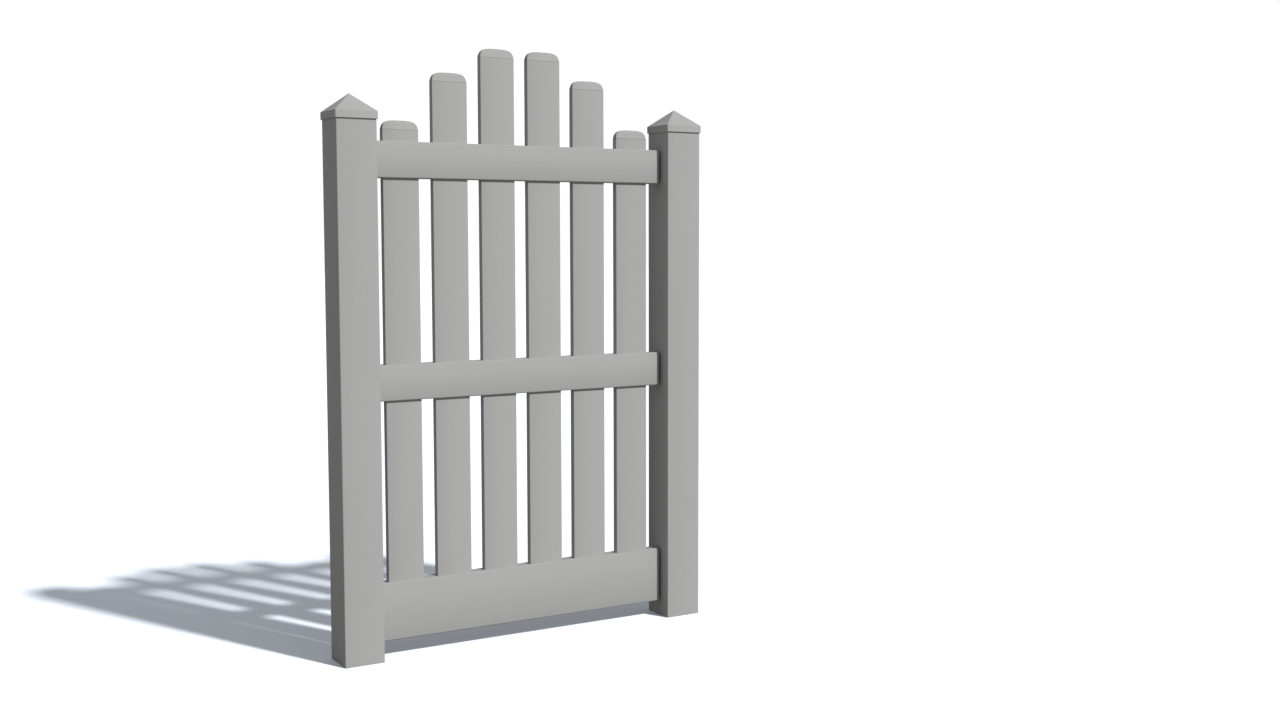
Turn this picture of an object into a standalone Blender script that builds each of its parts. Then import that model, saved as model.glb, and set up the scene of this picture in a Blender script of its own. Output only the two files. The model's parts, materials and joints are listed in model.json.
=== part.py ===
"""Garden gate: a picket leaf hung between two capped posts on butt hinges, held shut by a barrel bolt.

Metres, +Z up. The origin is on the ground, midway between the posts. The leaf lies along X and its
front faces -Y. All the ironwork is on the rear side, inside the depth of the posts.
"""
import math

import bmesh
import bpy
from mathutils import Matrix

# Posts and their caps
OPENING = 0.807                  # between the facing sides of the posts
POST_SIDE = 0.100
POST_WALL = 0.004
POST_CORNER = 0.0025
CAP_BASE = 1.304                 # lower edge of the cap's skirt above the ground
CAP_SKIRT = 0.018
CAP_PYRAMID = 0.0425
CAP_OVERHANG = 0.003
CAP_WALL = 0.003
CAP_LEDGE = 0.0136               # depth of the cap that slips over the post
INSERT_WALL = 0.0025
INSERT_FOOT = 0.020              # the metal insert starts this far above the ground

# Leaf
HINGE_GAP = 0.005                # between the leaf and the hinge post
LATCH_GAP = 0.0075               # between the leaf and the latch post
GROUND_GAP = 0.042
RAIL_THICKNESS = 0.035
RAIL_HEIGHT = 0.088
BOTTOM_RAIL_HEIGHT = 0.144
MIDDLE_RAIL_BASE = 0.631
TOP_RAIL_BASE = 1.168
RAIL_WALL = 0.0028
RAIL_CORNER = 0.003
PLUG_PLATE = 0.0025
LATCH_PLUG_REACH = 0.030
STIFFENER_HEIGHT = 0.030
STIFFENER_WALL = 0.0025

# Pickets
PICKET_COUNT = 6
PICKET_WIDTH = 0.092
PICKET_THICKNESS = 0.018
PICKET_WALL = 0.002
PICKET_CORNER = 0.0012
PICKET_SET = 0.0025              # how far the pickets stand forward of the rails' middle
HINGE_MARGIN = 0.0228            # rail's end to the first picket
LATCH_MARGIN = 0.0362            # last picket to the rail's other end
PICKET_RISES = (0.0500, 0.1705, 0.2360)   # tops above the top rail, from either side to the middle
PICKET_CAP_HEIGHT = 0.022
PICKET_CAP_PEG = 0.018

# Ironwork
HINGE_HEIGHT = 0.076
HINGE_PLATE = 0.0022
KNUCKLE_COUNT = 5
KNUCKLE_RADIUS = 0.0052
PIN_RADIUS = 0.0025
PIN_HEAD_RADIUS = 0.0040
PIN_HEAD = 0.0016
HINGE_SCREW_STEP = 0.026
GATE_SCREW_INSET = 0.0155        # from the rail's end to the hinge's screws
SCREW_RADIUS = 0.0020
SCREW_HEAD_RADIUS = 0.0037
SCREW_HEAD = 0.0022
LONG_SCREW = 0.016
SCREW_TIP_RADIUS = 0.0007
SCREW_POINT = 0.0035             # length of a screw's tapered end
BOLT_PLATE = 0.002
BOLT_LENGTH = 0.080
BOLT_WIDTH = 0.034
ROD_RADIUS = 0.005
ROD_THROW = 0.022
GUIDE_WALL = 0.0023
GUIDE_LENGTH = 0.010
GUIDE_SPACE = 0.031              # between the two guides
KNOB_RADIUS = 0.006
KNOB_STEM_RADIUS = 0.0025
KNOB_REACH = 0.0155              # from the rod's middle to the knob's middle
STRIKE_LENGTH = 0.060
STRIKE_WIDTH = 0.030
STRIKE_HOLE = 0.013
STRIKE_SCREW_STEP = 0.042

# Clearances
GAP = 0.0003                     # wherever two pieces meet
RUNNING_GAP = 0.0002             # radius to radius, on the pins and the rod
HOLE_GAP = 0.0003                # radius to radius, round the screws
TIP_GAP = 0.0008                 # from a bolt screw's tip to the picket behind the rail
SOCKET_GAP = 0.0005              # between the strike plate's hole and the larger one in the post
EDGE_GAP = 0.0015                # from a hinge leaf to the edge of what it lies on
OVERRUN = 0.002                  # how far a cutter runs past the surface that it starts from

# Derived sizes
POST_TOP = CAP_BASE + CAP_LEDGE - GAP
HINGE_FACE = -OPENING / 2
LATCH_FACE = OPENING / 2
LEAF_LEFT = HINGE_FACE + HINGE_GAP
LEAF_RIGHT = LATCH_FACE - LATCH_GAP
RAIL_BACK = RAIL_THICKNESS / 2
PICKET_BACK = PICKET_THICKNESS / 2 - PICKET_SET
PICKET_FRONT = PICKET_BACK - PICKET_THICKNESS
RAILS = {
    "bottom": (GROUND_GAP, BOTTOM_RAIL_HEIGHT),
    "middle": (MIDDLE_RAIL_BASE, RAIL_HEIGHT),
    "top": (TOP_RAIL_BASE, RAIL_HEIGHT),
}
PICKET_STEP = (LEAF_RIGHT - LEAF_LEFT - HINGE_MARGIN - LATCH_MARGIN - PICKET_WIDTH) / (PICKET_COUNT - 1)
STIFFENER_TOP = GROUND_GAP + RAIL_WALL + GAP + STIFFENER_HEIGHT
AXIS_OFFSET = KNUCKLE_RADIUS + GAP
HINGE_X = HINGE_FACE + AXIS_OFFSET
HINGE_Y = RAIL_BACK + AXIS_OFFSET
POST_LEAF_WIDTH = POST_SIDE / 2 - HINGE_Y - EDGE_GAP
GATE_LEAF_WIDTH = HINGE_MARGIN + EDGE_GAP
ROD_Y = RAIL_BACK + GAP + BOLT_PLATE + 0.0007 + ROD_RADIUS
ROD_Z = MIDDLE_RAIL_BASE + RAIL_HEIGHT / 2
BOLT_SCREW = BOLT_PLATE + GAP + RAIL_BACK - PICKET_BACK - TIP_GAP
BOLT_END = LEAF_RIGHT - 0.002
BOLT_START = BOLT_END - BOLT_LENGTH


def place(axis, u, v, along):
    """World point of the section point (u, v) at a distance along the axis."""
    if axis == "x":
        return (along, u, v)
    if axis == "y":
        return (u, along, v)
    return (u, v, along)


def rectangle(half_u, half_v, radius=0.0, steps=3, centre=(0.0, 0.0)):
    """Outline of a rectangle, with rounded corners where a radius is given."""
    if radius <= 0:
        corners = ((1, 1), (-1, 1), (-1, -1), (1, -1))
        return [(centre[0] + u * half_u, centre[1] + v * half_v) for u, v in corners]
    outline = []
    for index, (u, v) in enumerate(((1, 1), (-1, 1), (-1, -1), (1, -1))):
        for step in range(steps + 1):
            angle = math.pi / 2 * (index + step / steps)
            outline.append((centre[0] + u * (half_u - radius) + radius * math.cos(angle),
                            centre[1] + v * (half_v - radius) + radius * math.sin(angle)))
    return outline


def circle(radius, segments, centre=(0.0, 0.0)):
    """Outline of a circle."""
    outline = []
    for index in range(segments):
        angle = 2 * math.pi * index / segments
        outline.append((centre[0] + radius * math.cos(angle), centre[1] + radius * math.sin(angle)))
    return outline


def loft(axis, sections):
    """Closed skin through outlines with the same number of points, each given as (outline, along)."""
    count = len(sections[0][0])
    points = []
    for outline, along in sections:
        points += [place(axis, u, v, along) for u, v in outline]
    faces = [list(range(count))]
    for ring in range(len(sections) - 1):
        start = ring * count
        for index in range(count):
            following = (index + 1) % count
            faces.append([start + index, start + following,
                          start + count + following, start + count + index])
    last = (len(sections) - 1) * count
    faces.append([last + index for index in range(count)])
    return points, faces


def prism(axis, outline, low, high):
    """Straight solid with the given outline."""
    return loft(axis, [(outline, low), (outline, high)])


def block(x, y, z):
    """Box from three (low, high) pairs."""
    outline = [(x[0], y[0]), (x[1], y[0]), (x[1], y[1]), (x[0], y[1])]
    return prism("z", outline, z[0], z[1])


def tube(axis, outer, inner, low, high):
    """Straight pipe between two outlines with the same number of points, open at both ends."""
    count = len(outer)
    rings = [(outer, low), (outer, high), (inner, high), (inner, low)]
    points = []
    for outline, along in rings:
        points += [place(axis, u, v, along) for u, v in outline]
    faces = []
    for ring in range(len(rings)):
        start = ring * count
        after = (ring + 1) % len(rings) * count
        for index in range(count):
            following = (index + 1) % count
            faces.append([start + index, start + following, after + following, after + index])
    return points, faces


def turned(axis, profile, segments, centre=(0.0, 0.0)):
    """Solid of revolution from (along, radius) pairs."""
    return loft(axis, [(circle(radius, segments, centre), along) for along, radius in profile])


def mesh_object(name, shapes):
    """Object made of closed shapes that don't touch each other."""
    points = []
    faces = []
    for shape_points, shape_faces in shapes:
        base = len(points)
        points += shape_points
        faces += [[base + index for index in face] for face in shape_faces]
    mesh = bpy.data.meshes.new(name)
    mesh.from_pydata(points, [], faces)
    work = bmesh.new()
    work.from_mesh(mesh)
    bmesh.ops.recalc_face_normals(work, faces=work.faces)
    work.to_mesh(mesh)
    work.free()
    mesh.shade_smooth()
    mesh.set_sharp_from_angle(angle=math.radians(32))
    item = bpy.data.objects.new(name, mesh)
    bpy.context.scene.collection.objects.link(item)
    return item


FINISHES = {
    "vinyl": ((0.40, 0.40, 0.39, 1.0), 0.0, 0.45),
    "insert": ((0.62, 0.63, 0.64, 1.0), 1.0, 0.40),
    "iron": ((0.03, 0.03, 0.032, 1.0), 0.0, 0.42),
    "steel": ((0.55, 0.55, 0.55, 1.0), 1.0, 0.30),
}


def finish(item, kind):
    """Give the object its own material."""
    colour, metallic, roughness = FINISHES[kind]
    surface = bpy.data.materials.new(item.name)
    surface.use_nodes = True
    shader = surface.node_tree.nodes["Principled BSDF"]
    shader.inputs["Base Color"].default_value = colour
    shader.inputs["Metallic"].default_value = metallic
    shader.inputs["Roughness"].default_value = roughness
    surface.diffuse_color = colour
    item.data.materials.append(surface)


def combine(item, name, shapes, operation):
    """Join shapes to the object, or cut them from it."""
    tool = mesh_object(item.name + "." + name, shapes)
    tool.hide_render = True
    tool.display_type = "WIRE"
    change = item.modifiers.new(name, "BOOLEAN")
    change.operation = operation
    change.solver = "EXACT"
    change.object = tool


def piece(name, kind, shapes, cuts=(), joins=(), parent=None):
    """One part of the gate: shapes, with further shapes joined on and others cut away."""
    item = mesh_object(name, shapes)
    finish(item, kind)
    for index, shape in enumerate(joins):
        combine(item, "join%d" % index, [shape], "UNION")
    if cuts:
        combine(item, "cuts", list(cuts), "DIFFERENCE")
    if parent is not None:
        item.parent = parent
        item.matrix_parent_inverse = Matrix.Translation(parent.location).inverted()
    return item


def joint_empty(name, location):
    """Empty on a joint's axis, for the pieces that move about it."""
    empty = bpy.data.objects.new(name, None)
    empty.location = location
    bpy.context.scene.collection.objects.link(empty)
    return empty


def hole(axis, centre, low, high, radius=SCREW_RADIUS + HOLE_GAP):
    """Cutter for a screw's hole."""
    return turned(axis, [(low, radius), (high, radius)], 12, centre)


def screw(name, seat, axis, outward, length, parent=None):
    """Pan-head screw with a cross recess. The seat is the surface under its head."""
    along, centre = {"x": (seat[0], (seat[1], seat[2])), "y": (seat[1], (seat[0], seat[2]))}[axis]
    profile = [
        (-length, SCREW_TIP_RADIUS),
        (-length + SCREW_POINT, SCREW_RADIUS),
        (GAP, SCREW_RADIUS),
        (GAP, SCREW_HEAD_RADIUS),
        (GAP + 0.45 * SCREW_HEAD, SCREW_HEAD_RADIUS),
        (GAP + 0.80 * SCREW_HEAD, 0.80 * SCREW_HEAD_RADIUS),
        (GAP + SCREW_HEAD, 0.50 * SCREW_HEAD_RADIUS),
    ]
    sections = [(circle(radius, 12, centre), along + outward * where) for where, radius in profile]
    arm = 0.55 * SCREW_HEAD_RADIUS
    half = 0.12 * SCREW_HEAD_RADIUS
    cross = [(half, half), (half, arm), (-half, arm), (-half, half), (-arm, half), (-arm, -half),
             (-half, -half), (-half, -arm), (half, -arm), (half, -half), (arm, -half), (arm, half)]
    cross = [(centre[0] + u, centre[1] + v) for u, v in cross]
    ends = (along + outward * (GAP + 0.4 * SCREW_HEAD), along + outward * (GAP + 2 * SCREW_HEAD))
    piece(name, "iron", [loft(axis, sections)], cuts=[prism(axis, cross, min(ends), max(ends))],
          parent=parent)


def screw_heights(middle):
    """Heights of the screws in one hinge."""
    return [middle + step * HINGE_SCREW_STEP for step in (-1, 0, 1)]


def hinge_middles():
    """Height of each hinge, at the middle of its rail."""
    return {name: RAILS[name][0] + RAILS[name][1] / 2 for name in ("bottom", "top")}


def build_posts():
    """Posts with metal inserts and pyramid caps."""
    half = POST_SIDE / 2
    insert_half = half - POST_WALL - GAP
    screw_y = HINGE_Y + (KNUCKLE_RADIUS + POST_LEAF_WIDTH) / 2
    hinge_ends = (HINGE_FACE - LONG_SCREW, HINGE_FACE + OVERRUN)
    latch_ends = (LATCH_FACE - OVERRUN, LATCH_FACE + LONG_SCREW)
    hinge_holes = []
    for middle in hinge_middles().values():
        hinge_holes += [hole("x", (screw_y, z), *hinge_ends) for z in screw_heights(middle)]
    latch_holes = []
    for side in (-1, 1):
        latch_holes.append(hole("x", (ROD_Y, ROD_Z + side * STRIKE_SCREW_STEP / 2), *latch_ends))
    socket_half = STRIKE_HOLE / 2 + SOCKET_GAP
    socket = rectangle(socket_half, socket_half, centre=(ROD_Y, ROD_Z))
    latch_holes.append(prism("x", socket, *latch_ends))
    sides = (("left", HINGE_FACE - half, hinge_holes), ("right", LATCH_FACE + half, latch_holes))
    for name, x, cuts in sides:
        centre = (x, 0.0)
        outer = rectangle(half, half, POST_CORNER, centre=centre)
        inner = rectangle(half - POST_WALL, half - POST_WALL, 0.001, centre=centre)
        piece("post_" + name, "vinyl", [tube("z", outer, inner, 0.0, POST_TOP)], cuts)
        outer = rectangle(insert_half, insert_half, 0.0015, centre=centre)
        inner = rectangle(insert_half - INSERT_WALL, insert_half - INSERT_WALL, 0.0005, centre=centre)
        top = POST_TOP - INSERT_FOOT
        piece("post_insert_" + name, "insert", [tube("z", outer, inner, INSERT_FOOT, top)], cuts)
        build_post_cap("post_cap_" + name, centre)


def build_post_cap(name, centre):
    """Hollow four-sided cap that slips over a post and rests on its top edge."""
    outside = POST_SIDE / 2 + CAP_OVERHANG
    sleeve = POST_SIDE / 2 + GAP
    ledge = POST_SIDE / 2 - POST_WALL
    shoulder = CAP_BASE + CAP_SKIRT
    apex = shoulder + CAP_PYRAMID
    slope = CAP_PYRAMID / outside
    rest = CAP_BASE + CAP_LEDGE
    spring = shoulder + slope * (outside - ledge) - CAP_WALL * 1.6
    inner_apex = spring + slope * (ledge - 0.0012)
    path = [
        (0.0012, 0.0004, inner_apex),
        (ledge, 0.0008, spring),
        (ledge, 0.0008, rest),
        (sleeve, POST_CORNER, rest),
        (sleeve, POST_CORNER, CAP_BASE),
        (outside, POST_CORNER + 0.001, CAP_BASE),
        (outside, POST_CORNER + 0.001, shoulder),
        (0.0009, 0.0004, apex),
    ]
    sections = [(rectangle(half, half, radius, centre=centre), z) for half, radius, z in path]
    piece(name, "vinyl", [loft("z", sections)])


def picket_spans():
    """Left edge of each picket, and the height of its tip."""
    rail_top = TOP_RAIL_BASE + RAIL_HEIGHT
    spans = []
    for index in range(PICKET_COUNT):
        rise = PICKET_RISES[min(index, PICKET_COUNT - 1 - index, len(PICKET_RISES) - 1)]
        spans.append((LEAF_LEFT + HINGE_MARGIN + index * PICKET_STEP, rail_top + rise))
    return spans


def build_rails(leaf):
    """Hollow rails with a slot for each picket, their end plugs and the bottom rail's stiffener."""
    half = RAIL_THICKNESS / 2
    inside = half - RAIL_WALL
    screw_x = LEAF_LEFT + GATE_SCREW_INSET
    for name, (base, height) in RAILS.items():
        centre = (0.0, base + height / 2)
        outer = rectangle(half, height / 2, RAIL_CORNER, centre=centre)
        inner = rectangle(inside, height / 2 - RAIL_WALL, 0.0008, centre=centre)
        ends = (LEAF_LEFT + PLUG_PLATE + GAP, LEAF_RIGHT - PLUG_PLATE - GAP)
        slot_low = centre[1] if name == "bottom" else base - 0.01
        cuts = []
        for left, _ in picket_spans():
            across = (left - GAP, left + PICKET_WIDTH + GAP)
            through = (PICKET_FRONT - GAP, PICKET_BACK + GAP)
            cuts.append(block(across, through, (slot_low, base + height + 0.01)))
        hinge_cuts = []
        if name in hinge_middles():
            depth = (half - LONG_SCREW, half + OVERRUN)
            hinge_cuts = [hole("y", (screw_x, z), *depth) for z in screw_heights(hinge_middles()[name])]
        bolt_cuts = []
        if name == "middle":
            depth = (PICKET_BACK + GAP, half + OVERRUN)
            bolt_cuts = [hole("y", spot, *depth) for spot in bolt_screw_spots()]
        piece("rail_" + name, "vinyl", [tube("x", outer, inner, *ends)], cuts + hinge_cuts + bolt_cuts,
              parent=leaf)
        core = rectangle(inside - GAP, height / 2 - RAIL_WALL - GAP, 0.001, centre=centre)
        for side, start, outward, reach in (("left", LEAF_LEFT, -1, HINGE_MARGIN - 0.0005),
                                            ("right", LEAF_RIGHT, 1, LATCH_PLUG_REACH)):
            plate = start - outward * PLUG_PLATE
            sections = [(outer, start), (outer, plate), (core, plate), (core, start - outward * reach)]
            inside_cuts = hinge_cuts if side == "left" else [
                cut for cut, spot in zip(bolt_cuts, bolt_screw_spots()) if spot[0] > start - reach]
            piece("rail_plug_%s_%s" % (name, side), "vinyl", [loft("x", sections)], inside_cuts, parent=leaf)
    half = inside - GAP
    low = STIFFENER_TOP - STIFFENER_HEIGHT
    wall = STIFFENER_WALL
    outline = [(-half, low), (-half, STIFFENER_TOP), (half, STIFFENER_TOP), (half, low),
               (half - wall, low), (half - wall, STIFFENER_TOP - wall),
               (wall - half, STIFFENER_TOP - wall), (wall - half, low)]
    ends = (LEAF_LEFT + HINGE_MARGIN + 0.001, LEAF_RIGHT - LATCH_PLUG_REACH - 0.001)
    piece("rail_stiffener", "insert", [prism("x", outline, *ends)], parent=leaf)


def build_pickets(leaf):
    """Hollow pickets, each closed by a cap with an arched top, pegged into it."""
    half_width = PICKET_WIDTH / 2
    half = PICKET_THICKNESS / 2
    for index, (left, tip) in enumerate(picket_spans()):
        centre = (left + half_width, -PICKET_SET)
        seam = tip - PICKET_CAP_HEIGHT
        outer = rectangle(half_width, half, PICKET_CORNER, 2, centre)
        inner = rectangle(half_width - PICKET_WALL, half - PICKET_WALL, 0.0005, 2, centre)
        number = index + 1
        piece("picket_%d" % number, "vinyl", [tube("z", outer, inner, STIFFENER_TOP + GAP, seam - GAP)],
              parent=leaf)
        peg_width = half_width - PICKET_WALL - GAP
        peg_depth = half - PICKET_WALL - GAP
        path = [
            (peg_width, peg_depth, seam - PICKET_CAP_PEG),
            (peg_width, peg_depth, seam),
            (half_width, half, seam),
            (half_width - 0.0010, half * 0.895, seam + 0.25 * PICKET_CAP_HEIGHT),
            (half_width - 0.0025, half * 0.790, seam + 0.45 * PICKET_CAP_HEIGHT),
            (half_width - 0.0048, half * 0.665, seam + 0.64 * PICKET_CAP_HEIGHT),
            (half_width - 0.0085, half * 0.530, seam + 0.79 * PICKET_CAP_HEIGHT),
            (half_width - 0.0135, half * 0.410, seam + 0.89 * PICKET_CAP_HEIGHT),
            (half_width - 0.0190, half * 0.315, seam + 0.955 * PICKET_CAP_HEIGHT),
            (half_width - 0.0300, half * 0.215, seam + PICKET_CAP_HEIGHT),
        ]
        sections = []
        for width, depth, z in path:
            corner = min(PICKET_CORNER, depth * 0.45)
            sections.append((rectangle(width, depth, corner, 2, centre), z))
        pocket_width = peg_width - PICKET_WALL
        pocket_depth = peg_depth - PICKET_WALL
        pocket = prism("z", rectangle(pocket_width, pocket_depth, centre=centre),
                       seam - PICKET_CAP_PEG - 0.01, seam - 0.002)
        piece("picket_cap_%d" % number, "vinyl", [loft("z", sections)], [pocket], parent=leaf)


def hinge_leaf(name, middle, knuckles, width, screw_offset, on_post, parent=None):
    """Hinge leaf: a plate with knuckles rolled about the pin's axis."""
    step = HINGE_HEIGHT / KNUCKLE_COUNT
    low = middle - HINGE_HEIGHT / 2
    radius = KNUCKLE_RADIUS
    face = HINGE_PLATE - radius
    meeting = math.asin(face / radius)

    def turn(outline):
        if on_post:
            return [(HINGE_X + v, HINGE_Y + u) for u, v in outline]
        return [(HINGE_X + u, HINGE_Y + v) for u, v in outline]

    start = radius + 0.0005
    plate = prism("z", turn([(start, -radius), (width, -radius), (width, face), (start, face)]),
                  low + GAP, low + HINGE_HEIGHT - GAP)
    rolled = [(start + 0.0004, -radius)]
    turns = 16
    for index in range(turns + 1):
        angle = -math.pi / 2 - (math.tau - (math.pi / 2 + meeting)) * index / turns
        rolled.append((radius * math.cos(angle), radius * math.sin(angle)))
    rolled.append((start + 0.0004, face))
    joins = []
    for index in knuckles:
        ends = (low + index * step + GAP, low + (index + 1) * step - GAP)
        joins.append(prism("z", turn(rolled), *ends))
    bore_radius = PIN_RADIUS + RUNNING_GAP
    bore_ends = [(low - 0.01, bore_radius), (low + HINGE_HEIGHT + 0.01, bore_radius)]
    bore = turned("z", bore_ends, 20, (HINGE_X, HINGE_Y))
    cuts = [bore]
    for z in screw_heights(middle):
        if on_post:
            cuts.append(hole("x", (HINGE_Y + screw_offset, z), HINGE_FACE - 0.001, HINGE_FACE + 0.006))
        else:
            cuts.append(hole("y", (HINGE_X + screw_offset, z), RAIL_BACK - 0.001, RAIL_BACK + 0.006))
    piece(name, "iron", [plate], cuts, joins, parent)


def build_hinges(leaf):
    """Butt hinges in the corner between the hinge post and the rear of a rail."""
    post_offset = (KNUCKLE_RADIUS + POST_LEAF_WIDTH) / 2
    gate_offset = LEAF_LEFT + GATE_SCREW_INSET - HINGE_X
    for name, middle in hinge_middles().items():
        label = "hinge_" + name
        hinge_leaf(label + "_post_leaf", middle, range(0, KNUCKLE_COUNT, 2), POST_LEAF_WIDTH, post_offset,
                   True)
        hinge_leaf(label + "_gate_leaf", middle, range(1, KNUCKLE_COUNT, 2), GATE_LEAF_WIDTH, gate_offset,
                   False, leaf)
        half = HINGE_HEIGHT / 2
        end = half + PIN_HEAD
        profile = [
            (-end, 0.7 * PIN_HEAD_RADIUS), (-end + 0.0005, PIN_HEAD_RADIUS), (-half, PIN_HEAD_RADIUS),
            (-half, PIN_RADIUS), (half, PIN_RADIUS),
            (half, PIN_HEAD_RADIUS), (end - 0.0005, PIN_HEAD_RADIUS), (end, 0.7 * PIN_HEAD_RADIUS),
        ]
        profile = [(middle + where, radius) for where, radius in profile]
        piece(label + "_pin", "steel", [turned("z", profile, 20, (HINGE_X, HINGE_Y))])
        for index, z in enumerate(screw_heights(middle)):
            number = index + 1
            screw("%s_post_screw_%d" % (label, number),
                  (HINGE_FACE + GAP + HINGE_PLATE, HINGE_Y + post_offset, z), "x", 1, LONG_SCREW)
            screw("%s_gate_screw_%d" % (label, number),
                  (HINGE_X + gate_offset, RAIL_BACK + GAP + HINGE_PLATE, z), "y", 1, LONG_SCREW, leaf)


def bolt_screw_spots():
    """Screws of the bolt's plate, as (x, z)."""
    spots = []
    for x in (BOLT_START + 0.007, BOLT_END - 0.0055):
        for side in (-1, 1):
            spots.append((x, ROD_Z + side * (BOLT_WIDTH / 2 - 0.0045)))
    return spots


def build_bolt(leaf, bolt):
    """Barrel bolt on the rear of the middle rail, drawn back, and the strike plate it shoots into."""
    surface = RAIL_BACK + GAP
    top = surface + BOLT_PLATE
    outline = rectangle(BOLT_LENGTH / 2, BOLT_WIDTH / 2, 0.003, centre=((BOLT_START + BOLT_END) / 2, ROD_Z))
    radius = ROD_RADIUS + RUNNING_GAP + GUIDE_WALL
    guide = [(top - 0.0005, ROD_Z - radius)]
    for index in range(13):
        angle = -math.pi / 2 + math.pi * index / 12
        guide.append((ROD_Y + radius * math.cos(angle), ROD_Z + radius * math.sin(angle)))
    guide.append((top - 0.0005, ROD_Z + radius))
    last = BOLT_END - 0.003 - GUIDE_LENGTH
    first = last - GUIDE_SPACE - GUIDE_LENGTH
    joins = [prism("x", guide, start, start + GUIDE_LENGTH) for start in (first, last)]
    cuts = [hole("y", spot, surface - 0.002, top + 0.002) for spot in bolt_screw_spots()]
    rod_gap = ROD_RADIUS + RUNNING_GAP
    for start in (first, last):
        ends = [(start - 0.001, rod_gap), (start + GUIDE_LENGTH + 0.001, rod_gap)]
        cuts.append(turned("x", ends, 32, (ROD_Y, ROD_Z)))
    piece("bolt_body", "iron", [prism("y", outline, surface, top)], cuts, joins, leaf)

    tip = LEAF_RIGHT - 0.001
    tail = first - ROD_THROW - 0.002
    profile = [(tail, ROD_RADIUS - 0.0008), (tail + 0.0008, ROD_RADIUS), (tip - 0.0012, ROD_RADIUS),
               (tip, ROD_RADIUS - 0.0012)]
    knob_x = first + GUIDE_LENGTH + 0.0045
    socket = turned("y", [(ROD_Y + 0.0005, KNOB_STEM_RADIUS + GAP), (ROD_Y + 0.008, KNOB_STEM_RADIUS + GAP)],
                    16, (knob_x, ROD_Z))
    piece("bolt_rod", "steel", [turned("x", profile, 32, (ROD_Y, ROD_Z))], [socket], parent=bolt)
    profile = [(ROD_Y + 0.0005 + GAP, KNOB_STEM_RADIUS)]
    for index in range(8):
        angle = math.radians(-65 + 150 * index / 7)
        profile.append((ROD_Y + KNOB_REACH + KNOB_RADIUS * math.sin(angle), KNOB_RADIUS * math.cos(angle)))
    piece("bolt_knob", "iron", [turned("y", profile, 24, (knob_x, ROD_Z))], parent=bolt)

    strike_surface = LATCH_FACE - GAP
    outline = rectangle(STRIKE_WIDTH / 2, STRIKE_LENGTH / 2, 0.003, centre=(ROD_Y, ROD_Z))
    socket = rectangle(STRIKE_HOLE / 2, STRIKE_HOLE / 2, centre=(ROD_Y, ROD_Z))
    cuts = [prism("x", socket, strike_surface - 0.004, strike_surface + 0.002)]
    for index, side in enumerate((-1, 1)):
        z = ROD_Z + side * STRIKE_SCREW_STEP / 2
        cuts.append(hole("x", (ROD_Y, z), strike_surface - 0.004, strike_surface + 0.002))
        screw("strike_screw_%d" % (index + 1), (strike_surface - BOLT_PLATE, ROD_Y, z), "x", -1, LONG_SCREW)
    piece("strike_plate", "iron", [prism("x", outline, strike_surface - BOLT_PLATE, strike_surface)], cuts)
    for index, (x, z) in enumerate(bolt_screw_spots()):
        screw("bolt_screw_%d" % (index + 1), (x, top, z), "y", 1, BOLT_SCREW, leaf)


def main():
    """Clear the scene and build the gate."""
    for item in list(bpy.data.objects):
        bpy.data.objects.remove(item, do_unlink=True)
    leaf = joint_empty("leaf_swing", (HINGE_X, HINGE_Y, 0.0))
    bolt = joint_empty("bolt_slide", (LEAF_RIGHT, ROD_Y, ROD_Z))
    build_posts()
    build_rails(leaf)
    build_pickets(leaf)
    build_hinges(leaf)
    build_bolt(leaf, bolt)


main()
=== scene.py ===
"""Looks for the garden gate: a grey vinyl picket gate between two capped posts, on a pale floor in sunlight.

Metres, in the frame of the CAD model: +Z up, the leaf along X, its front towards -Y.
"""

import json
import math

import bmesh
import bpy
from mathutils import Matrix, Vector


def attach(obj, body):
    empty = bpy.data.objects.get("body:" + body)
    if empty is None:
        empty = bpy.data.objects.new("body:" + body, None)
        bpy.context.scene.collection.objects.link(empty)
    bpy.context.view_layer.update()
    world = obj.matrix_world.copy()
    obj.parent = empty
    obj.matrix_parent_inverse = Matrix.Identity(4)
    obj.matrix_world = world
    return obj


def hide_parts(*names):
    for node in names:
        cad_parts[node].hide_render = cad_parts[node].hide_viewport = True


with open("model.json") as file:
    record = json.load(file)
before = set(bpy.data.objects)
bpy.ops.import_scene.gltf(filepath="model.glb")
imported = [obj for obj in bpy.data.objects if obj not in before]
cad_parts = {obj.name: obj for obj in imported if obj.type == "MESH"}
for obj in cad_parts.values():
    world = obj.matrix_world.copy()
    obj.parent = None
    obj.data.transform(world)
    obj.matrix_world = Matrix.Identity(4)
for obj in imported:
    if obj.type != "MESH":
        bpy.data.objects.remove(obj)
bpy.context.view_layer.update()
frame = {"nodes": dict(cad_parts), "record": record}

NODES = frame["nodes"]
BODY_OF = {node: body for body, nodes in frame["record"]["behaviour"]["bodies"].items() for node in nodes}
SLOT_OF = {part["node"]: part["material_slot"] for part in frame["record"]["subparts"]}

# Camera, in front of the gate and to its left
CAMERA_PLACE = (-1.6547, -3.3344, 1.0223)
CAMERA_TURN = math.radians(30.978)
CAMERA_TILT = math.radians(4.635)
CAMERA_ROLL = math.radians(-0.058)
CAMERA_LENS = 41.009
CAMERA_SENSOR = 36.0
CAMERA_REACH = 200.0

# Light and floor
SUN_TURN = math.radians(24.9)        # from -Y towards +X
SUN_HEIGHT = math.radians(46.6)
SUN_STRENGTH = 3.95
SUN_SPREAD = math.radians(2.9)
SUN_DISTANCE = 6.0
SKY = (0.985, 0.99, 1.0)
SKY_STRENGTH = 0.385
BACKDROP = (1.0, 1.0, 1.0)
BACKDROP_STRENGTH = 1.05
FLOOR_HALF = 40.0
FLOOR_SEEN = (0.86, 0.915, 1.0)
FLOOR_BOUNCED = (0.22, 0.22, 0.215)

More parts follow.
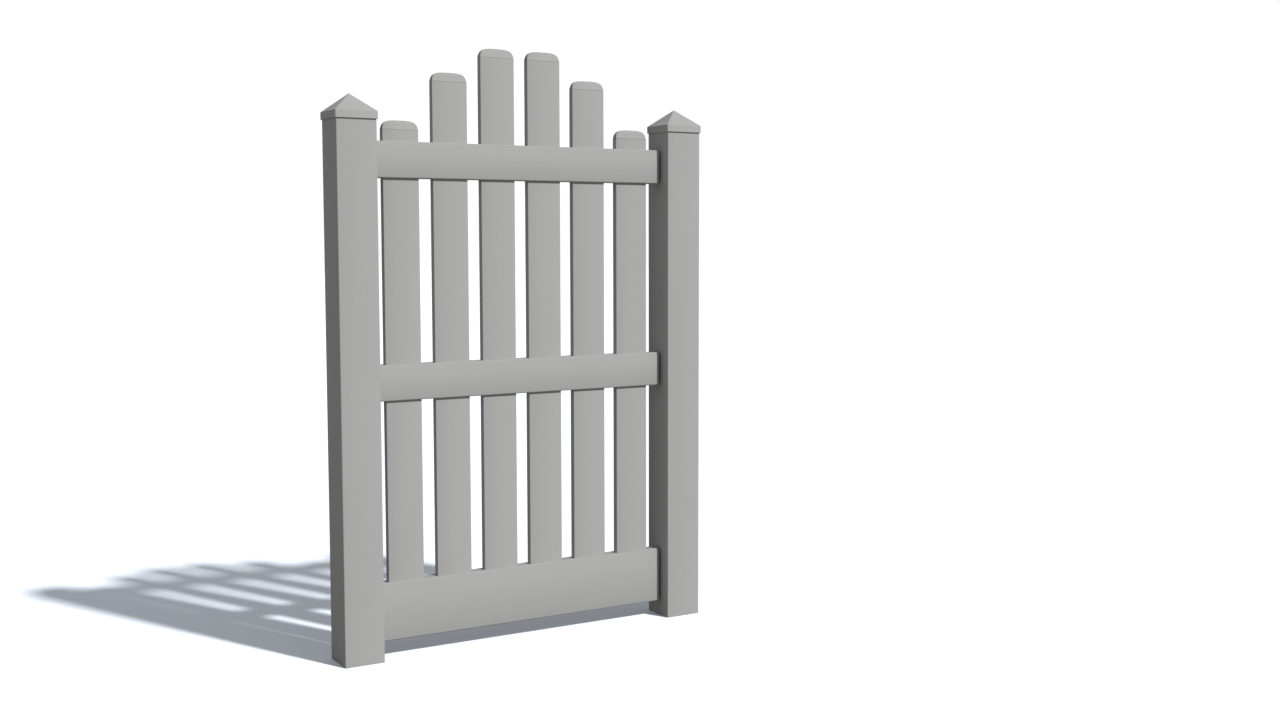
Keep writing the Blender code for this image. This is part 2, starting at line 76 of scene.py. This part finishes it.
# Vinyl. A tone is a factor on its colour.
VINYL = (0.358, 0.358, 0.355)
VINYL_ROUGHNESS = (0.60, 0.74)
VINYL_IOR = 1.5
VINYL_SPECULAR = 0.25
POST_CAP_TONE = 1.04                 # the post caps against the rest
CLOUD_TONES = (0.985, 1.015)         # slow drift of the colour across a face
SPECK_TONE = 0.93
DIE_LINE_TONE = 0.94
UPWARD_SHADE_TONE = 0.775                   # painted shade: faces that look up are darkened by this factor, so the sun lights them no brighter than the fronts
UPWARD_SHADE_RANGE = (0.06, 0.38)           # upward part of the normal, from no painted shade to all of it

# Metals
IRON = (0.020, 0.020, 0.022)
IRON_DUST = (0.045, 0.044, 0.042)
IRON_RUBBED = (0.16, 0.155, 0.15)
IRON_ROUGHNESS = (0.42, 0.60)
RUBBED_RADIUS = 0.0006
ZINC = (0.60, 0.60, 0.59)
ZINC_ROUGHNESS = (0.24, 0.40)
ALUMINIUM = (0.70, 0.71, 0.72)
ALUMINIUM_ROUGHNESS = (0.30, 0.46)
METAL_TONES = (0.88, 1.06)
METAL_LINE_TONE = 0.72

# Lines that run along a piece, as features to the metre across it and along it
DIE_LINES = (260.0, 2.5)
ZINC_LINES = (1400.0, 60.0)
ALUMINIUM_LINES = (900.0, 8.0)

# Shapes
WELD = 1e-5
FLAT = math.radians(0.3)             # faces that meet at less than this are one flat face
SHARP = math.radians(40.0)           # edges that turn by more than this are eased
EDGE_WIDTH = {"grey_vinyl": 0.0005, "black_ironwork": 0.00025, "zinc_steel": 0.0002,
              "aluminium_insert": 0.0002}
EDGE_SEGMENTS = 2
CROSS_REACH = 0.0021                 # a screw's cross recess, from its middle to the end of an arm
CROSS_WIDTH = 0.0009
CROSS_DEPTH = 0.0012
CROSS_TAPER = 0.35                   # how much wider its cutter is at the top, and narrower at the foot


# ---------------------------------------------------------------- camera, light and floor

def place_in_scene(item):
    bpy.context.scene.collection.objects.link(item)


def make_camera():
    """Camera at the viewing angle of the picture."""
    data = bpy.data.cameras.new("camera")
    data.lens = CAMERA_LENS
    data.sensor_width = CAMERA_SENSOR
    data.sensor_fit = "HORIZONTAL"
    data.clip_end = CAMERA_REACH
    camera = bpy.data.objects.new("camera", data)
    turn = Matrix.Rotation(-CAMERA_TURN, 4, "Z")
    tilt = Matrix.Rotation(math.pi / 2 - CAMERA_TILT, 4, "X")
    roll = Matrix.Rotation(CAMERA_ROLL, 4, "Z")
    camera.matrix_world = Matrix.Translation(CAMERA_PLACE) @ turn @ tilt @ roll
    place_in_scene(camera)
    bpy.context.scene.camera = camera


def make_sun():
    """Sun from the front right, with a soft-edged shadow."""
    data = bpy.data.lights.new("sun", "SUN")
    data.energy = SUN_STRENGTH
    data.angle = SUN_SPREAD
    sun = bpy.data.objects.new("sun", data)
    towards = Vector((math.sin(SUN_TURN) * math.cos(SUN_HEIGHT),
                      -math.cos(SUN_TURN) * math.cos(SUN_HEIGHT), math.sin(SUN_HEIGHT)))
    sun.rotation_euler = towards.to_track_quat("Z", "Y").to_euler()
    sun.location = towards * SUN_DISTANCE
    place_in_scene(sun)


def show_camera(tree, seen, others, output_kind):
    """Give the camera one shader to see, and every other ray the other one."""
    path = tree.nodes.new("ShaderNodeLightPath")
    mix = tree.nodes.new("ShaderNodeMixShader")
    output = tree.nodes.new(output_kind)
    tree.links.new(path.outputs["Is Camera Ray"], mix.inputs["Fac"])
    tree.links.new(others.outputs[0], mix.inputs[1])
    tree.links.new(seen.outputs[0], mix.inputs[2])
    tree.links.new(mix.outputs[0], output.inputs["Surface"])


def make_world():
    """White backdrop for the camera, and a dimmer even fill for the surfaces."""
    world = bpy.data.worlds.new("studio")
    bpy.context.scene.world = world
    world.use_nodes = True
    tree = world.node_tree
    tree.nodes.clear()
    shaders = []
    for colour, strength in ((BACKDROP, BACKDROP_STRENGTH), (SKY, SKY_STRENGTH)):
        shader = tree.nodes.new("ShaderNodeBackground")
        shader.inputs["Color"].default_value = (*colour, 1.0)
        shader.inputs["Strength"].default_value = strength
        shaders.append(shader)
    show_camera(tree, *shaders, "ShaderNodeOutputWorld")


def make_floor():
    """Pale floor, which throws less light back at the gate than it shows to the camera."""
    mesh = bpy.data.meshes.new("floor")
    corners = [(-FLOOR_HALF, -FLOOR_HALF, 0), (FLOOR_HALF, -FLOOR_HALF, 0),
               (FLOOR_HALF, FLOOR_HALF, 0), (-FLOOR_HALF, FLOOR_HALF, 0)]
    mesh.from_pydata(corners, [], [(0, 1, 2, 3)])
    floor = bpy.data.objects.new("floor", mesh)
    place_in_scene(floor)
    surface = bpy.data.materials.new("floor")
    surface.use_nodes = True
    tree = surface.node_tree
    tree.nodes.clear()
    shaders = []
    for colour in (FLOOR_SEEN, FLOOR_BOUNCED):
        shader = tree.nodes.new("ShaderNodeBsdfDiffuse")
        shader.inputs["Color"].default_value = (*colour, 1.0)
        shaders.append(shader)
    show_camera(tree, *shaders, "ShaderNodeOutputMaterial")
    mesh.materials.append(surface)


# ---------------------------------------------------------------- materials

class Graph:
    """Short calls for building one material's nodes."""

    def __init__(self, name):
        self.material = bpy.data.materials.new(name)
        self.material.use_nodes = True
        self.tree = self.material.node_tree
        self.shader = self.tree.nodes["Principled BSDF"]
        self.place = self.add("ShaderNodeTexCoord").outputs["Object"]

    def add(self, kind, **settings):
        node = self.tree.nodes.new(kind)
        for key, value in settings.items():
            setattr(node, key, value)
        return node

    def link(self, source, target):
        self.tree.links.new(source, target)

    def noise(self, scale, detail=3.0, roughness=0.5, stretch=None):
        """Noise from 0 to 1 with that many features to the metre, times the stretch on each axis."""
        texture = self.add("ShaderNodeTexNoise")
        texture.inputs["Scale"].default_value = scale
        texture.inputs["Detail"].default_value = detail
        texture.inputs["Roughness"].default_value = roughness
        place = self.place
        if stretch is not None:
            mapping = self.add("ShaderNodeMapping")
            mapping.inputs["Scale"].default_value = stretch
            self.link(place, mapping.inputs["Vector"])
            place = mapping.outputs["Vector"]
        self.link(place, texture.inputs["Vector"])
        return texture.outputs["Fac"]

    def spread(self, source, low, high, start=0.3, end=0.7):
        """The source from start to end, spread over low to high."""
        node = self.add("ShaderNodeMapRange")
        node.inputs["From Min"].default_value = start
        node.inputs["From Max"].default_value = end
        node.inputs["To Min"].default_value = low
        node.inputs["To Max"].default_value = high
        self.link(source, node.inputs["Value"])
        return node.outputs["Result"]

    def math(self, operation, first, second):
        node = self.add("ShaderNodeMath", operation=operation)
        for socket, value in zip(node.inputs, (first, second)):
            if isinstance(value, (int, float)):
                socket.default_value = value
            else:
                self.link(value, socket)
        return node.outputs[0]

    def tint(self, factor, first, second):
        """Colour between first and second by a factor. Either may be a colour or a socket."""
        node = self.add("ShaderNodeMix", data_type="RGBA")
        self.link(factor, node.inputs["Factor"])
        for socket, value in ((node.inputs[6], first), (node.inputs[7], second)):
            if isinstance(value, tuple):
                socket.default_value = (*value, 1.0)
            else:
                self.link(value, socket)
        return node.outputs[2]

    def upward(self, start, end):
        """0 on faces whose normal points up by less than start, and 1 from end on."""
        geometry = self.add("ShaderNodeNewGeometry")
        split = self.add("ShaderNodeSeparateXYZ")
        self.link(geometry.outputs["Normal"], split.inputs["Vector"])
        return self.spread(split.outputs["Z"], 0.0, 1.0, start, end)

    def bump(self, height, distance, strength=1.0, under=None):
        """Normal from a height. The distance is how far it stands out, and under is another bump's normal."""
        node = self.add("ShaderNodeBump")
        node.inputs["Strength"].default_value = strength
        node.inputs["Distance"].default_value = distance
        self.link(height, node.inputs["Height"])
        if under is not None:
            self.link(under, node.inputs["Normal"])
        return node.outputs["Normal"]

    def edges(self, radius, start=0.02, end=0.25):
        """1 on edges and corners, and 0 on flat stretches."""
        bevel = self.add("ShaderNodeBevel", samples=4)
        bevel.inputs["Radius"].default_value = radius
        geometry = self.add("ShaderNodeNewGeometry")
        dot = self.add("ShaderNodeVectorMath", operation="DOT_PRODUCT")
        self.link(bevel.outputs["Normal"], dot.inputs[0])
        self.link(geometry.outputs["Normal"], dot.inputs[1])
        return self.spread(self.math("SUBTRACT", 1.0, dot.outputs["Value"]), 0.0, 1.0, start, end)

    def done(self, colour, roughness, normal, **constants):
        """The material, with its three textures linked and its constants set on the shader."""
        self.link(colour, self.shader.inputs["Base Color"])
        self.link(roughness, self.shader.inputs["Roughness"])
        self.link(normal, self.shader.inputs["Normal"])
        for name, value in constants.items():
            self.shader.inputs[name.replace("_", " ")].default_value = value
        return self.material


def shade(colour, factor):
    return tuple(value * factor for value in colour)


def lined(along, lines):
    """Stretch of a noise that makes lines along an axis."""
    return tuple(lines[1] if axis == along else lines[0] for axis in "xyz")


def vinyl(name, along=None, tone=1.0):
    """Matte vinyl: extruded, with faint die lines along an axis, or moulded, where no axis is given."""
    graph = Graph(name)
    base = shade(VINYL, tone)
    clouds = graph.noise(scale=2.4, detail=3.0, roughness=0.55)
    dark, light = (shade(base, factor) for factor in CLOUD_TONES)
    colour = graph.tint(graph.spread(clouds, low=0.0, high=1.0), dark, light)
    specks = graph.noise(scale=230.0, detail=2.0, roughness=0.6)
    speckled = graph.spread(specks, low=0.0, high=0.35, start=0.45, end=0.75)
    colour = graph.tint(speckled, colour, shade(base, SPECK_TONE))
    # Painted shade: faces that look up are darkened by the direction of their normal, against the sun's extra
    # light on them.
    colour = graph.tint(graph.upward(*UPWARD_SHADE_RANGE), colour, shade(base, UPWARD_SHADE_TONE))
    peel = graph.noise(scale=620.0, detail=2.0, roughness=0.5)
    normal = graph.bump(peel, distance=0.00006, strength=0.6)
    if along is not None:
        lines = graph.noise(scale=1.0, detail=3.0, roughness=0.6, stretch=lined(along, DIE_LINES))
        colour = graph.tint(graph.spread(lines, low=0.0, high=0.35), colour, shade(base, DIE_LINE_TONE))
        normal = graph.bump(lines, distance=0.00010, strength=0.55, under=normal)
    smudges = graph.noise(scale=17.0, detail=4.0, roughness=0.6)
    return graph.done(colour, graph.spread(smudges, *VINYL_ROUGHNESS), normal,
                      IOR=VINYL_IOR, Specular_IOR_Level=VINYL_SPECULAR)


def iron(name):
    """Black powder coat over steel, with a fine texture, some dust and slightly rubbed edges."""
    graph = Graph(name)
    texture = graph.noise(scale=1500.0, detail=2.0, roughness=0.55)
    patches = graph.spread(graph.noise(scale=260.0, detail=3.0, roughness=0.7), low=0.0, high=0.8)
    rubbed = graph.math("MULTIPLY", graph.edges(RUBBED_RADIUS), patches)
    specks = graph.noise(scale=60.0, detail=4.0, roughness=0.6)
    dusty = graph.spread(specks, low=0.0, high=0.35, start=0.45, end=0.8)
    colour = graph.tint(rubbed, graph.tint(dusty, IRON, IRON_DUST), IRON_RUBBED)
    smudges = graph.noise(scale=120.0, detail=3.0, roughness=0.6)
    normal = graph.bump(texture, distance=0.00010, strength=0.7)
    return graph.done(colour, graph.spread(smudges, *IRON_ROUGHNESS), normal)


def metal(name, colour, bounds, stretch):
    """Bare metal with fine drawn lines, where the bounds are those of its roughness."""
    graph = Graph(name)
    lines = graph.noise(scale=1.0, detail=4.0, roughness=0.65, stretch=stretch)
    clouds = graph.noise(scale=35.0, detail=4.0, roughness=0.6)
    dark, light = (shade(colour, factor) for factor in METAL_TONES)
    clouded = graph.tint(graph.spread(clouds, low=0.0, high=1.0), dark, light)
    drawn = graph.tint(graph.spread(lines, low=0.0, high=0.4), clouded, shade(colour, METAL_LINE_TONE))
    rough = graph.spread(graph.math("ADD", lines, clouds), *bounds, start=0.7, end=1.3)
    return graph.done(drawn, rough, graph.bump(lines, distance=0.00004, strength=0.5), Metallic=1.0)


def make_materials():
    """The finishes, by name. A letter at the end is the axis that its lines run along."""
    return {
        "vinyl_x": vinyl("grey_vinyl_rails", "x"),
        "vinyl_z": vinyl("grey_vinyl_uprights", "z"),
        "vinyl_moulded": vinyl("grey_vinyl_moulded"),
        "vinyl_post_cap": vinyl("grey_vinyl_post_caps", tone=POST_CAP_TONE),
        "iron": iron("black_ironwork"),
        "zinc_x": metal("zinc_bolt", ZINC, ZINC_ROUGHNESS, lined("x", ZINC_LINES)),
        "zinc_z": metal("zinc_pins", ZINC, ZINC_ROUGHNESS, lined("z", ZINC_LINES)),
        "aluminium_x": metal("aluminium_stiffener", ALUMINIUM, ALUMINIUM_ROUGHNESS,
                             lined("x", ALUMINIUM_LINES)),
        "aluminium_z": metal("aluminium_posts", ALUMINIUM, ALUMINIUM_ROUGHNESS,
                             lined("z", ALUMINIUM_LINES)),
    }


def finish_of(node):
    """Name of the finish that a node takes."""
    slot = SLOT_OF[node]
    if slot == "grey_vinyl":
        if node.startswith("post_cap"):
            return "vinyl_post_cap"
        if "cap" in node or "plug" in node:
            return "vinyl_moulded"
        return "vinyl_x" if node.startswith("rail") else "vinyl_z"
    if slot == "aluminium_insert":
        return "aluminium_x" if node.startswith("rail") else "aluminium_z"
    if slot == "zinc_steel":
        return "zinc_x" if node.startswith("bolt") else "zinc_z"
    return "iron"


# ---------------------------------------------------------------- pieces

def stand_for(item, node, material):
    """Let the item take a CAD node's place, on the same body and in the same slot."""
    item.data.materials.clear()
    item.data.materials.append(material)
    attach(item, BODY_OF[node])
    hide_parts(node)


def to_mesh(work, name):
    """New mesh from a bmesh, which is freed."""
    mesh = bpy.data.meshes.new(name)
    work.to_mesh(mesh)
    work.free()
    return mesh


def cross(middle, axis, side):
    """Driver's cross recess, as a cutter that starts above the screw's head and narrows on the way in."""
    first, second = [index for index in range(3) if index != axis]
    arm, half = CROSS_REACH, CROSS_WIDTH / 2
    outline = [(arm, -half), (arm, half), (half, half), (half, arm), (-half, arm), (-half, half),
               (-arm, half), (-arm, -half), (-half, -half), (-half, -arm), (half, -arm), (half, -half)]
    work = bmesh.new()
    rings = []
    for along, size in ((CROSS_DEPTH, 1 + CROSS_TAPER), (-CROSS_DEPTH, 1 - CROSS_TAPER)):
        ring = []
        for u, v in outline:
            place = list(middle)
            place[first] += u * size
            place[second] += v * size
            place[axis] += side * along
            ring.append(work.verts.new(place))
        rings.append(ring)
    for index in range(len(outline)):
        after = (index + 1) % len(outline)
        work.faces.new((rings[0][index], rings[0][after], rings[1][after], rings[1][index]))
    work.faces.new(rings[0])
    work.faces.new(rings[1][::-1])
    bmesh.ops.recalc_face_normals(work, faces=work.faces)
    return to_mesh(work, "cross")


def cut_cross(mesh, node):
    """The screw's mesh with a cross recess in its head."""
    corners = [vertex.co for vertex in mesh.vertices]
    low = [min(corner[index] for corner in corners) for index in range(3)]
    high = [max(corner[index] for corner in corners) for index in range(3)]
    axis = 0 if "post_screw" in node or "strike" in node else 1
    side = -1 if "strike" in node else 1
    middle = [(low[index] + high[index]) / 2 for index in range(3)]
    middle[axis] = high[axis] if side > 0 else low[axis]
    screw = bpy.data.objects.new("screw", mesh)
    cutter = bpy.data.objects.new("cutter", cross(middle, axis, side))
    for item in (screw, cutter):
        place_in_scene(item)
    recess = screw.modifiers.new("recess", "BOOLEAN")
    recess.operation = "DIFFERENCE"
    recess.solver = "EXACT"
    recess.object = cutter
    result = bpy.data.meshes.new_from_object(screw.evaluated_get(bpy.context.evaluated_depsgraph_get()))
    for item in (screw, cutter):
        used = item.data
        bpy.data.objects.remove(item)
        bpy.data.meshes.remove(used)
    result.name = node
    return result


def softened(node, name, width):
    """Copy of a CAD node's shape, as clean faces with its edges eased, and a cross in a screw's head."""
    work = bmesh.new()
    work.from_mesh(NODES[node].data)
    bmesh.ops.remove_doubles(work, verts=work.verts, dist=WELD)
    bmesh.ops.dissolve_limit(work, angle_limit=FLAT, verts=work.verts, edges=work.edges)
    bmesh.ops.recalc_face_normals(work, faces=work.faces)
    mesh = to_mesh(work, name)
    if "screw" in node:
        mesh = cut_cross(mesh, node)
    mesh.shade_smooth()
    mesh.set_sharp_from_angle(angle=SHARP)
    item = bpy.data.objects.new(name, mesh)
    place_in_scene(item)
    bevel = item.modifiers.new("edges", "BEVEL")
    bevel.limit_method = "ANGLE"
    bevel.angle_limit = SHARP
    bevel.width = width
    bevel.segments = EDGE_SEGMENTS
    bevel.harden_normals = True
    bevel.use_clamp_overlap = True
    return item


def make_pieces():
    """Every CAD node, with eased edges and its finish."""
    materials = make_materials()
    for node in sorted(NODES):
        item = softened(node, node + "_piece", EDGE_WIDTH[SLOT_OF[node]])
        stand_for(item, node, materials[finish_of(node)])


bpy.context.scene.view_settings.view_transform = "Standard"
make_camera()
make_sun()
make_world()
make_floor()
make_pieces()
